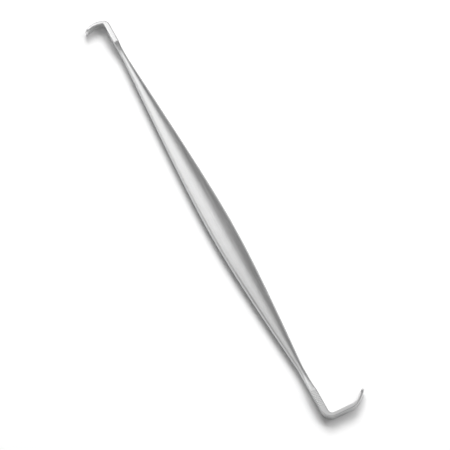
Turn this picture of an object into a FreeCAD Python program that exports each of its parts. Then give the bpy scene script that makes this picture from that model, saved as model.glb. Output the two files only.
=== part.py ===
import FreeCAD, Part
import math
import os
from collections import namedtuple

# A double-ended hand retractor, forged and ground from one bar of stainless steel.
# The handle lies along X and the two blades turn off it to opposite sides, so that
# the tool is a long Z in plan. It lies on one pair of its ground sides, at Z = 0.
# All lengths are in millimetres and all angles in degrees.

# Whole tool
overall_length = 150.0
blade_width = 5.0
edge_break = 0.3

# Handle: an oval spindle, fullest a little nearer to the deep blade
belly_width = 8.0
belly_depth = 4.4
belly_offset = 3.4
neck_depth = 3.0
corner_share = 0.52
crown_angle = 24.0
neck_ease_share = 0.02

# Shallow end: a short blade that is curved over its whole length above a short root
shallow_reach = 8.1
shallow_neck_width = 1.65
shallow_blade_thickness = 1.05
shallow_lip_thickness = 0.95
shallow_lip_length = 0.5
shallow_root_length = 0.3
shallow_lean_angle = 18.0
shallow_curl_angle = 42.0
shallow_bend_inside = 0.6
shallow_bend_outside = 2.0
shallow_flat_length = 8.8
shallow_flare_length = 4.6
shallow_neck_length = 0.6
shallow_roundness_share = 0.3

# Deep end: a long straight blade with a lip turned in at its tip
deep_reach = 15.5
deep_neck_width = 2.0
deep_blade_thickness = 1.4
deep_lip_thickness = 0.95
deep_lip_length = 4.1
deep_lean_angle = 3.1
deep_curl_angle = 42.0
deep_curl_radius = 4.8
deep_bend_inside = 1.3
deep_bend_outside = 3.5
deep_flat_length = 10.9
deep_flare_length = 5.8
deep_neck_length = 2.4
deep_roundness_share = 0.5

# Rounding of the blade tips, seen along the tool
tip_radius = 2.0

# How finely the handle's law of form is sampled for its lofts
taper_sections = 9
flare_steps = 5


def curl_that_fills(reach, neck_width, bend_inside, root_length, thickness, lip_length,
                    lean, curl):
    """Radius at which a blade's curl takes up all the reach that its root and lip leave."""
    lean = math.radians(lean)
    tip_turn = math.radians(curl) - lean
    half_bend = math.radians(45) - lean / 2
    root_height = (bend_inside * math.tan(half_bend) + root_length) * math.cos(lean)
    left_over = (reach - neck_width - root_height + thickness * math.sin(lean)
                 - lip_length * math.cos(tip_turn))
    return left_over / (math.sin(lean) + math.sin(tip_turn))


shallow_curl_radius = curl_that_fills(shallow_reach, shallow_neck_width, shallow_bend_inside,
                                      shallow_root_length, shallow_blade_thickness,
                                      shallow_lip_length, shallow_lean_angle,
                                      shallow_curl_angle)

End = namedtuple("End", "reach neck_width blade_thickness lip_thickness lip_length lean curl "
                        "curl_radius bend_inside bend_outside flat_length flare_length "
                        "neck_length roundness")

shallow_end = End(shallow_reach, shallow_neck_width, shallow_blade_thickness,
                  shallow_lip_thickness, shallow_lip_length, shallow_lean_angle,
                  shallow_curl_angle, shallow_curl_radius, shallow_bend_inside,
                  shallow_bend_outside, shallow_flat_length, shallow_flare_length,
                  shallow_neck_length, shallow_roundness_share)
deep_end = End(deep_reach, deep_neck_width, deep_blade_thickness,
               deep_lip_thickness, deep_lip_length, deep_lean_angle,
               deep_curl_angle, deep_curl_radius, deep_bend_inside,
               deep_bend_outside, deep_flat_length, deep_flare_length,
               deep_neck_length, deep_roundness_share)

# The edge rounding leaves a flat between the two edges of the thinnest lip.
thinnest_lip = min(shallow_lip_thickness, deep_lip_thickness)
edge_radius = min(edge_break, 0.4 * thinnest_lip)
tip_corner = min(tip_radius, 0.45 * blade_width)
axis_height = blade_width / 2
up = FreeCAD.Vector(0, 0, 1)


def direction(angle):
    """Unit vector in plan, turned from +Y towards +X by the angle."""
    return FreeCAD.Vector(math.sin(math.radians(angle)), math.cos(math.radians(angle)), 0)


def right_of(vector):
    """The vector in plan turned a quarter turn clockwise, seen from above."""
    return FreeCAD.Vector(vector.y, -vector.x, 0)


def meet(point, along, other_point, other_along):
    """Where two lines in plan cross."""
    gap = other_point - point
    crossing = along.cross(other_along).z
    return point + along * (gap.cross(other_along).z / crossing)


def rounded_outline(corners):
    """Closed face from (point, radius) corners, with an arc at each radius above zero."""
    points = [point for point, radius in corners]
    starts = []
    ends = []
    arcs = []
    for index, (point, radius) in enumerate(corners):
        before = (points[index - 1] - point).normalize()
        after = (points[(index + 1) % len(points)] - point).normalize()
        if radius == 0:
            starts.append(point)
            ends.append(point)
            arcs.append(None)
            continue
        half_corner = before.getAngle(after) / 2
        start = point + before * (radius / math.tan(half_corner))
        end = point + after * (radius / math.tan(half_corner))
        centre = point + (before + after).normalize() * (radius / math.sin(half_corner))
        middle = centre + (point - centre).normalize() * radius
        starts.append(start)
        ends.append(end)
        arcs.append(Part.Arc(start, middle, end).toShape())
    edges = []
    for index in range(len(points)):
        if arcs[index]:
            edges.append(arcs[index])
        following = (index + 1) % len(points)
        edges.append(Part.LineSegment(ends[index], starts[following]).toShape())
    return Part.Face(Part.Wire(edges))


def end_corners(end):
    """Plan outline of one flat-ground end, with the blade turned towards +Y.

    The outline is found from outside inwards: the curl's arc touches the plane that
    limits the tool's length, and the blade and the lip are tangent to that arc.
    """
    blade_line = direction(end.lean)
    lip_line = direction(end.lean - end.curl)
    blade_out = right_of(blade_line)
    lip_out = right_of(lip_line)
    outer_side = -end.neck_width / 2
    lip_end_above_centre = end.curl_radius * lip_out.y + end.lip_length * lip_line.y
    curl_centre = FreeCAD.Vector(overall_length / 2 - end.curl_radius,
                                 outer_side + end.reach - lip_end_above_centre, 0)

    blade_face = curl_centre + blade_out * end.curl_radius
    lip_face = curl_centre + lip_out * end.curl_radius
    blade_back = blade_face - blade_out * end.blade_thickness
    lip_back = lip_face - lip_out * end.lip_thickness
    neck_line = FreeCAD.Vector(1, 0, 0)
    neck_start = overall_length / 2 - end.flat_length
    neck_outer = FreeCAD.Vector(neck_start, outer_side, 0)
    neck_inner = FreeCAD.Vector(neck_start, -outer_side, 0)
    tip = lip_line * end.lip_length

    return [
        (neck_outer, 0),
        (meet(neck_outer, neck_line, blade_face, blade_line), end.bend_outside),
        (meet(blade_face, blade_line, lip_face, lip_line), end.curl_radius),
        (lip_face + tip, 0),
        (lip_back + tip, 0),
        (meet(blade_back, blade_line, lip_back, lip_line),
         end.curl_radius - end.blade_thickness),
        (meet(neck_inner, neck_line, blade_back, blade_line), end.bend_inside),
        (neck_inner, 0),
    ]


def normal_at_middle(face, edge):
    """Normal of a face where the middle of one of its edges touches it."""
    middle = edge.valueAt((edge.FirstParameter + edge.LastParameter) / 2)
    u, v = face.Surface.parameter(middle)
    return face.normalAt(u, v)


def sharp_edges(solid, neck_start):
    """Edges where two faces meet at an angle, apart from those at the handle's joint."""
    found = []
    for edge in solid.Edges:
        box = edge.BoundBox
        if box.XMax < neck_start + edge_radius / 10:
            continue
        faces = solid.ancestorsOfType(edge, Part.Face)
        first = normal_at_middle(faces[0], edge)
        second = normal_at_middle(faces[1], edge)
        if first.getAngle(second) > math.radians(20):
            found.append(edge)
    return found


def blade_end(end):
    """Neck flats, bend, blade and lip: the plan outline cut through the full width."""
    corners = end_corners(end)
    solid = rounded_outline(corners).extrude(up * blade_width)
    tip_middle = (corners[3][0] + corners[4][0]) / 2
    tip_edges = []
    for edge in solid.Edges:
        middle = edge.CenterOfMass
        if FreeCAD.Vector(middle.x, middle.y, 0).isEqual(tip_middle, edge_radius / 10):
            tip_edges.append(edge)
    solid = solid.makeFillet(tip_corner, tip_edges)
    neck_start = overall_length / 2 - end.flat_length
    return solid.makeFillet(edge_radius, sharp_edges(solid, neck_start))


def taper_share(distance, roundness):
    """From 0 at the belly to 1 at the neck: straight far out, rounded over the belly."""
    far_out = math.hypot(1, roundness) - roundness
    return (math.hypot(distance, roundness) - roundness) / far_out


def fullness(distance, roundness):
    """From 1 at the belly to 0 at the neck, where the taper runs out level."""
    height = 1 - taper_share(distance, roundness)
    if height > 2 * neck_ease_share:
        eased = height - neck_ease_share
    else:
        eased = height * height / (4 * neck_ease_share)
    return eased / (1 - neck_ease_share)


def crowned_side(start, crest, finish):
    """One side of a section: a shallow parabola between two corners."""
    curve = Part.BezierCurve()
    curve.setPoles([start, crest * 2 - (start + finish) / 2, finish])
    return curve.toShape()


def crowned_section(x, half_width, half_depth, corner, crown):
    """Section across the handle: four crowned sides, tangent to four corner arcs."""
    sine = math.sin(math.radians(crown))
    cosine = math.cos(math.radians(crown))
    bulge = math.tan(math.radians(crown)) / 2
    corner_reach = corner * (cosine + bulge * sine)
    inner_width = half_width - corner_reach
    inner_depth = half_depth - corner_reach
    centre_y = (inner_width - bulge * inner_depth) / (1 - bulge * bulge)
    centre_z = (inner_depth - bulge * inner_width) / (1 - bulge * bulge)
    side_y = centre_y + corner * cosine
    side_z = centre_z + corner * sine
    top_y = centre_y + corner * sine
    top_z = centre_z + corner * cosine
    corner_y = centre_y + corner * math.sqrt(0.5)
    corner_z = centre_z + corner * math.sqrt(0.5)

    def place(y, z):
        return FreeCAD.Vector(x, y, axis_height + z)

    edges = []
    for sign in (1, -1):
        side_start = place(sign * side_y, sign * side_z)
        top_start = place(sign * top_y, sign * top_z)
        top_finish = place(-sign * top_y, sign * top_z)
        side_finish = place(-sign * side_y, sign * side_z)
        next_side = place(-sign * side_y, -sign * side_z)
        near_corner = place(sign * corner_y, sign * corner_z)
        far_corner = place(-sign * corner_y, sign * corner_z)
        edges.append(Part.Arc(side_start, near_corner, top_start).toShape())
        edges.append(crowned_side(top_start, place(0, sign * half_depth), top_finish))
        edges.append(Part.Arc(top_finish, far_corner, side_finish).toShape())
        edges.append(crowned_side(side_finish, place(-sign * half_width, 0), next_side))
    return Part.Wire(edges)


def spindle_sections(end, neck_x):
    """Sections from the belly out to one neck, closer together towards the neck."""
    half_neck = end.neck_width / 2
    sections = []
    for step in range(taper_sections + 1):
        distance = math.sin(math.pi / 2 * step / taper_sections)
        full = fullness(distance, end.roundness)
        half_width = half_neck + (belly_width / 2 - half_neck) * full
        half_depth = neck_depth / 2 + (belly_depth / 2 - neck_depth / 2) * full
        corner = corner_share * min(half_width, half_depth)
        x = belly_offset + (neck_x - belly_offset) * distance
        sections.append(crowned_section(x, half_width, half_depth, corner, crown_angle))
    return sections


def flare_sections(end, flare_x):
    """Sections of one flare, which spreads to the blade's width and turns square."""
    side = math.copysign(1, flare_x)
    half_neck = end.neck_width / 2
    neck_corner = corner_share * min(half_neck, neck_depth / 2)
    sections = []
    for step in range(flare_steps + 1):
        along = step / flare_steps
        rise = along * along * (3 - along) / 2
        half_depth = neck_depth / 2 + (blade_width / 2 - neck_depth / 2) * rise
        corner = neck_corner + (edge_radius - neck_corner) * rise
        crown = crown_angle * (1 - rise)
        x = flare_x + side * end.flare_length * along
        sections.append(crowned_section(x, half_neck, half_depth, corner, crown))
    return sections


def neck_and_flare(end, neck_x):
    """The even neck of one end, and the flare that joins it to the ground flats."""
    along_neck = FreeCAD.Vector(math.copysign(end.neck_length, neck_x), 0, 0)
    sections = flare_sections(end, neck_x + along_neck.x)
    neck = Part.Face(sections[0]).extrude(-along_neck)
    return [neck, Part.makeLoft(sections, True)]


def distance_to_neck(end):
    """From mid-length to where one end's taper runs out."""
    return overall_length / 2 - end.flat_length - end.flare_length - end.neck_length


def retractor():
    """The whole tool as one solid, centred on the origin in plan."""
    shallow_x = -distance_to_neck(shallow_end)
    deep_x = distance_to_neck(deep_end)
    shallow_side = spindle_sections(shallow_end, shallow_x)
    deep_side = spindle_sections(deep_end, deep_x)
    spindle = Part.makeLoft(shallow_side[:0:-1] + deep_side, True)
    shallow_blade = blade_end(shallow_end)
    shallow_blade.rotate(FreeCAD.Vector(0, 0, 0), up, 180)
    ends = neck_and_flare(shallow_end, shallow_x) + neck_and_flare(deep_end, deep_x)
    whole = spindle.fuse(ends + [shallow_blade, blade_end(deep_end)]).removeSplitter()
    box = whole.optimalBoundingBox(False, False)
    whole.translate(FreeCAD.Vector(-box.Center.x, -box.Center.y, 0))
    return whole


os.makedirs("parts", exist_ok=True)
tool = retractor()
tool.exportStep("parts/retractor.step")
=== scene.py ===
import math

import bpy
from mathutils import Matrix, Vector

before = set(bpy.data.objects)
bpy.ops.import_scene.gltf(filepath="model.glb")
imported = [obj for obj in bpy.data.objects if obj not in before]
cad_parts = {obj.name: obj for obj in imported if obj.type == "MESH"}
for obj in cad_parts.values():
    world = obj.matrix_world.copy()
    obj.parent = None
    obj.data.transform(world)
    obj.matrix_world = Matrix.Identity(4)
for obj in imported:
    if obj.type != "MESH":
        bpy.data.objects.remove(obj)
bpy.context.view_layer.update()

# View of the tool: nearly straight down with a long lens, lengths in metres, angles in degrees
IMAGE_SIDE = 450
PIXELS_PER_METRE = 3137.0
VIEW_TILT = 14.0
HANDLE_ANGLE = 61.25
MIDDLE_PIXEL = (225.4, 215.2)
VIEW_DISTANCE = 1.4
NEAREST_SEEN = 0.05
FARTHEST_SEEN = 20.0

# Steel: each roughness goes from the grain's hollows to its crests, each colour spread is how much
# darker the hollows are, and the last is how far the highlight spreads across the handle's grain
STEEL_COLOUR = (0.82, 0.82, 0.82)
FLAT_COLOUR = (0.93, 0.93, 0.93)
STEEL_COLOUR_SPREAD = 0.11
FLAT_COLOUR_SPREAD = 0.06
HANDLE_ROUGHNESS = (0.32, 0.42)
FLAT_ROUGHNESS = (0.26, 0.34)
ACROSS_GRAIN_SPREAD = 0.6

# Grain: lengthwise on the handle and blades, crosswise on the flat ends; metres and degrees
GRAIN_LENGTH = 0.014
GRAIN_PITCH = 0.0006
GRAIN_DETAIL = 3
GRAIN_DEPTH = 0.00002
FLAT_GRAIN_DEPTH_SHARE = 0.3
CROSS_LINE_PITCH = 0.00055
CROSS_LINE_LENGTH = 0.004
CROSS_LINE_LEAN = 12.0
CROSS_LINE_WAVER = 2.5
CROSS_LINE_DETAIL = 2

# Textures: the values that the grain's hollows and crests have in them, and the radians that the
# wave texture turns by for each unit of its scaled coordinate
HOLLOWS_TO_CRESTS = (0.3, 0.7)
WAVE_PHASE = 20.0

# Where the finish changes, from and to, in metres. The flat ends are measured along the tool from
# the middle between them, the bends from the origin, and the blades sideways from the handle's line.
FLATS_MIDDLE = -0.001
FLATS_FROM = (0.0646, 0.0656)
BENDS_FROM = (0.0690, 0.0702)
HANDLE_LINE = -0.0036
BLADES_FROM = (0.0010, 0.0014)

# Floor, with its colour in the light it gives back, in the steel and to the camera
FLOOR_SIDE = 6.0
FLOOR_COLOUR = (0.82, 0.82, 0.82)
MIRRORED_FLOOR_COLOUR = (0.78, 0.78, 0.78)
SHOWN_FLOOR_COLOUR = (1.0, 1.0, 1.0)

# Softboxes that the steel mirrors, in the tool's own frame: x and y from and to, and level.
# The first two show on the tool's top and the others on the flank that faces them.
SOFTBOX_HEIGHT = 0.35
SOFTBOXES = {
    "upper_softbox": ((-0.60, -0.05), (-0.30, 0.08), 1.12),
    "lower_softbox": ((-0.05, 0.06), (-0.30, 0.08), 0.58),
    "side_softbox": ((-0.60, -0.15), (-0.70, -0.30), 1.12),
    "far_softbox": ((-0.90, -0.30), (-1.80, -0.70), 1.4),
}

# Lamps that light the floor: azimuth, elevation, side length, and share of the floor's white
LAMP_DISTANCE = 1.6
FLOOR_LAMPS = {
    "key_lamp": (88, 55, 0.8, 0.65),
    "side_lamp": (28, 58, 0.8, 0.28),
}
ROOM_LIGHT = 0.215


def picture_axes():
    """The floor's directions that run to the right and to the top of the picture."""
    angle = math.radians(HANDLE_ANGLE)
    right = Vector((math.cos(angle), math.sin(angle), 0))
    top = Vector((-math.sin(angle), math.cos(angle), 0))
    return right, top


PICTURE_RIGHT, PICTURE_TOP = picture_axes()


def direction_to(azimuth, elevation):
    """Unit vector towards a place in the sky, with azimuth counted as in the picture.

    Azimuth 0 is the picture's right, 90 its top, and elevation 90 is straight up.
    """
    turn = math.radians(azimuth)
    height = math.radians(elevation)
    level = PICTURE_RIGHT * math.cos(turn) + PICTURE_TOP * math.sin(turn)
    return level * math.cos(height) + Vector((0, 0, math.sin(height)))


def add_to_scene(name, data):
    """New object for the data, in the scene."""
    added = bpy.data.objects.new(name, data)
    bpy.context.scene.collection.objects.link(added)
    return added


def make_camera():
    """Camera above the floor, leaning a little towards the picture's bottom."""
    tilt = math.radians(VIEW_TILT)
    back = Vector((0, 0, math.cos(tilt))) - PICTURE_TOP * math.sin(tilt)
    upward = PICTURE_TOP * math.cos(tilt) + Vector((0, 0, math.sin(tilt)))
    data = bpy.data.cameras.new("camera")
    view_width = IMAGE_SIDE / PIXELS_PER_METRE
    data.lens = data.sensor_width * VIEW_DISTANCE / view_width
    data.clip_start = NEAREST_SEEN
    data.clip_end = FARTHEST_SEEN
    camera = add_to_scene("camera", data)
    across = (IMAGE_SIDE / 2 - MIDDLE_PIXEL[0]) / PIXELS_PER_METRE
    down = (IMAGE_SIDE / 2 - MIDDLE_PIXEL[1]) / PIXELS_PER_METRE
    aim = PICTURE_RIGHT * across - upward * down
    place = aim + back * VIEW_DISTANCE
    turn = Matrix((PICTURE_RIGHT, upward, back)).transposed()
    camera.matrix_world = Matrix.Translation(place) @ turn.to_4x4()
    bpy.context.scene.camera = camera


def make_lamp(name, width, height, power):
    """Rectangular lamp that shines straight down until it is turned."""
    data = bpy.data.lights.new(name, "AREA")
    data.shape = "RECTANGLE"
    data.size = width
    data.size_y = height
    data.energy = power
    lamp = add_to_scene(name, data)
    lamp.visible_camera = False
    return lamp


def make_softbox(name, x_range, y_range, level):
    """Level rectangle above the tool, seen only in the steel; a level of 1 is white."""
    low_x, high_x = x_range
    low_y, high_y = y_range
    area = (high_x - low_x) * (high_y - low_y)
    softbox = make_lamp(name, high_x - low_x, high_y - low_y, level * math.pi * area)
    softbox.location = ((low_x + high_x) / 2, (low_y + high_y) / 2, SOFTBOX_HEIGHT)
    softbox.visible_diffuse = False


def make_floor_lamp(name, azimuth, elevation, side, share):
    """Square lamp that gives the floor a share of its white and casts the soft shadow."""
    towards = direction_to(azimuth, elevation)
    # A white floor gives back a radiance of 1 where it is fully lit, and this light falls aslant
    power = share * (math.pi * LAMP_DISTANCE) ** 2 / towards.z
    lamp = make_lamp(name, side, side, power)
    lamp.location = towards * LAMP_DISTANCE
    lamp.rotation_euler = towards.to_track_quat("Z", "Y").to_euler()
    lamp.visible_glossy = False


def make_world():
    """Dim even light from all round, which the steel's dark sides show."""
    world = bpy.data.worlds.new("studio")
    world.use_nodes = True
    background = world.node_tree.nodes["Background"]
    background.inputs["Color"].default_value = (1, 1, 1, 1)
    background.inputs["Strength"].default_value = ROOM_LIGHT
    bpy.context.scene.world = world


def new_material(name):
    """Material that holds nothing but its output."""
    material = bpy.data.materials.new(name)
    material.use_nodes = True
    nodes = material.node_tree.nodes
    nodes.clear()
    output = nodes.new("ShaderNodeOutputMaterial")
    return material, nodes, material.node_tree.links, output


def paper(nodes, colour):
    """Matt paper of one colour."""
    shader = nodes.new("ShaderNodeBsdfDiffuse")
    shader.inputs["Color"].default_value = (*colour, 1)
    return shader.outputs[0]


def floor_material():
    """White paper: fully white to the camera, nearly white in the steel and in what it lights."""
    material, nodes, links, output = new_material("floor_paper")
    ray = nodes.new("ShaderNodeLightPath")
    shade = paper(nodes, FLOOR_COLOUR)
    for kind, colour in (("Is Glossy Ray", MIRRORED_FLOOR_COLOUR),
                         ("Is Camera Ray", SHOWN_FLOOR_COLOUR)):
        choice = nodes.new("ShaderNodeMixShader")
        links.new(ray.outputs[kind], choice.inputs["Fac"])
        links.new(shade, choice.inputs[1])
        links.new(paper(nodes, colour), choice.inputs[2])
        shade = choice.outputs[0]
    links.new(shade, output.inputs["Surface"])
    return material


def make_floor():
    """White floor that takes the tool's shadow."""
    mesh = bpy.data.meshes.new("floor")
    half = FLOOR_SIDE / 2
    corners = [(-half, -half, 0), (half, -half, 0), (half, half, 0), (-half, half, 0)]
    mesh.from_pydata(corners, [], [(0, 1, 2, 3)])
    mesh.materials.append(floor_material())
    add_to_scene("floor", mesh)


def map_range(nodes, links, value, from_range, to_range):
    """The value, carried over from one range to another and kept inside it."""
    carried = nodes.new("ShaderNodeMapRange")
    carried.inputs["From Min"].default_value = from_range[0]
    carried.inputs["From Max"].default_value = from_range[1]
    carried.inputs["To Min"].default_value = to_range[0]
    carried.inputs["To Max"].default_value = to_range[1]
    links.new(value, carried.inputs["Value"])
    return carried.outputs[0]


def mix(nodes, links, kind, share, first, second):
    """Mix of two outputs of one kind, FLOAT or RGBA, by a third."""
    mixer = nodes.new("ShaderNodeMix")
    mixer.data_type = kind
    sockets = [socket for socket in mixer.inputs if socket.enabled]
    for socket, source in zip(sockets, (share, first, second)):
        links.new(source, socket)
    return [socket for socket in mixer.outputs if socket.enabled][0]


def away_mask(nodes, links, coordinate, centre, from_range):
    """From 0 near a centre to 1 away from it, either way along one axis."""
    offset = nodes.new("ShaderNodeMath")
    offset.operation = "SUBTRACT"
    offset.inputs[1].default_value = centre
    links.new(coordinate, offset.inputs[0])
    distance = nodes.new("ShaderNodeMath")
    distance.operation = "ABSOLUTE"
    links.new(offset.outputs[0], distance.inputs[0])
    return map_range(nodes, links, distance.outputs[0], from_range, (0, 1))


def end_masks(nodes, links, place):
    """Two masks: 1 on the flat ends and blades and, within these, 1 on the bends and blades."""
    apart = nodes.new("ShaderNodeSeparateXYZ")
    links.new(place, apart.inputs[0])
    flats = away_mask(nodes, links, apart.outputs["X"], FLATS_MIDDLE, FLATS_FROM)
    beside = away_mask(nodes, links, apart.outputs["Y"], HANDLE_LINE, BLADES_FROM)
    beyond = away_mask(nodes, links, apart.outputs["X"], 0, BENDS_FROM)
    blades = nodes.new("ShaderNodeMath")
    blades.operation = "MAXIMUM"
    links.new(beside, blades.inputs[0])
    links.new(beyond, blades.inputs[1])
    return flats, blades.outputs[0]


def grain(nodes, links, place, size):
    """Noise drawn out as a grinding belt leaves it, with its length along each axis given."""
    stretch = nodes.new("ShaderNodeMapping")
    stretch.inputs["Scale"].default_value = [1 / length for length in size]
    noise = nodes.new("ShaderNodeTexNoise")
    noise.inputs["Scale"].default_value = 1
    noise.inputs["Detail"].default_value = GRAIN_DETAIL
    links.new(place, stretch.inputs["Vector"])
    links.new(stretch.outputs[0], noise.inputs["Vector"])
    return noise.outputs["Fac"]


def cross_grain(nodes, links, place):
    """Nearly even lines across the flat ends, as a wheel leaves them."""
    lean = nodes.new("ShaderNodeMapping")
    lean.inputs["Rotation"].default_value = (0, 0, math.radians(CROSS_LINE_LEAN))
    wave = nodes.new("ShaderNodeTexWave")
    wave.bands_direction = "X"
    wave.inputs["Scale"].default_value = 2 * math.pi / (WAVE_PHASE * CROSS_LINE_PITCH)
    wave.inputs["Distortion"].default_value = CROSS_LINE_WAVER
    wave.inputs["Detail"].default_value = CROSS_LINE_DETAIL
    wave.inputs["Detail Scale"].default_value = CROSS_LINE_PITCH / CROSS_LINE_LENGTH
    links.new(place, lean.inputs["Vector"])
    links.new(lean.outputs[0], wave.inputs["Vector"])
    return wave.outputs["Fac"]


def grinding_lines(nodes, links, place, blades):
    """The handle's lines and the ends' lines, as heights between the grain's hollows and crests."""
    handle_lines = grain(nodes, links, place, (GRAIN_LENGTH, GRAIN_PITCH, GRAIN_PITCH))
    flat_lines = cross_grain(nodes, links, place)
    blade_lines = grain(nodes, links, place, (GRAIN_LENGTH, GRAIN_LENGTH, GRAIN_PITCH))
    return handle_lines, mix(nodes, links, "FLOAT", blades, flat_lines, blade_lines)


def line_colour(nodes, links, lines, colour, spread):
    """Colour that is a little darker in the grain's hollows."""
    ramp = nodes.new("ShaderNodeValToRGB")
    hollow, crest = ramp.color_ramp.elements
    hollow.position, crest.position = HOLLOWS_TO_CRESTS
    hollow.color = (*[part - spread for part in colour], 1)
    crest.color = (*colour, 1)
    links.new(lines, ramp.inputs["Fac"])
    return ramp.outputs["Color"]


def steel_colour(nodes, links, flats, handle_lines, end_lines):
    """Grey of the handle, and the brighter grey of the flat ends."""
    on_handle = line_colour(nodes, links, handle_lines, STEEL_COLOUR, STEEL_COLOUR_SPREAD)
    on_ends = line_colour(nodes, links, end_lines, FLAT_COLOUR, FLAT_COLOUR_SPREAD)
    return mix(nodes, links, "RGBA", flats, on_handle, on_ends)


def steel_roughness(nodes, links, flats, handle_lines, end_lines):
    """Satin on the handle, and a little smoother on the flat ends."""
    on_handle = map_range(nodes, links, handle_lines, HOLLOWS_TO_CRESTS, HANDLE_ROUGHNESS)
    on_ends = map_range(nodes, links, end_lines, HOLLOWS_TO_CRESTS, FLAT_ROUGHNESS)
    return mix(nodes, links, "FLOAT", flats, on_handle, on_ends)


def steel_relief(nodes, links, flats, handle_lines, end_lines):
    """Very low relief of the grinding lines, lower still on the flat ends."""
    relief = nodes.new("ShaderNodeBump")
    relief.inputs["Distance"].default_value = GRAIN_DEPTH
    depth = map_range(nodes, links, flats, (0, 1), (1, FLAT_GRAIN_DEPTH_SHARE))
    height = mix(nodes, links, "FLOAT", flats, handle_lines, end_lines)
    links.new(depth, relief.inputs["Strength"])
    links.new(height, relief.inputs["Height"])
    return relief.outputs[0]


def round_the_handle(nodes):
    """Direction round the tool's long axis, along which the highlight spreads."""
    tangent = nodes.new("ShaderNodeTangent")
    tangent.direction_type = "RADIAL"
    tangent.axis = "X"
    return tangent.outputs[0]


def steel_material():
    """Ground and satin-polished stainless steel."""
    material, nodes, links, output = new_material("ground_steel")
    steel = nodes.new("ShaderNodeBsdfPrincipled")
    steel.inputs["Metallic"].default_value = 1
    steel.inputs["Anisotropic"].default_value = ACROSS_GRAIN_SPREAD
    place = nodes.new("ShaderNodeTexCoord").outputs["Object"]
    flats, blades = end_masks(nodes, links, place)
    lines = grinding_lines(nodes, links, place, blades)
    links.new(round_the_handle(nodes), steel.inputs["Tangent"])
    links.new(steel_colour(nodes, links, flats, *lines), steel.inputs["Base Color"])
    links.new(steel_roughness(nodes, links, flats, *lines), steel.inputs["Roughness"])
    links.new(steel_relief(nodes, links, flats, *lines), steel.inputs["Normal"])
    links.new(steel.outputs[0], output.inputs["Surface"])
    return material


def dress_tool():
    """Gives the tool its steel."""
    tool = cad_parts["retractor"]
    tool.data.materials.clear()
    tool.data.materials.append(steel_material())


bpy.context.scene.view_settings.view_transform = "Standard"
make_camera()
make_floor()
make_world()
for softbox_name, softbox in SOFTBOXES.items():
    make_softbox(softbox_name, *softbox)
for lamp_name, floor_lamp in FLOOR_LAMPS.items():
    make_floor_lamp(lamp_name, *floor_lamp)
dress_tool()
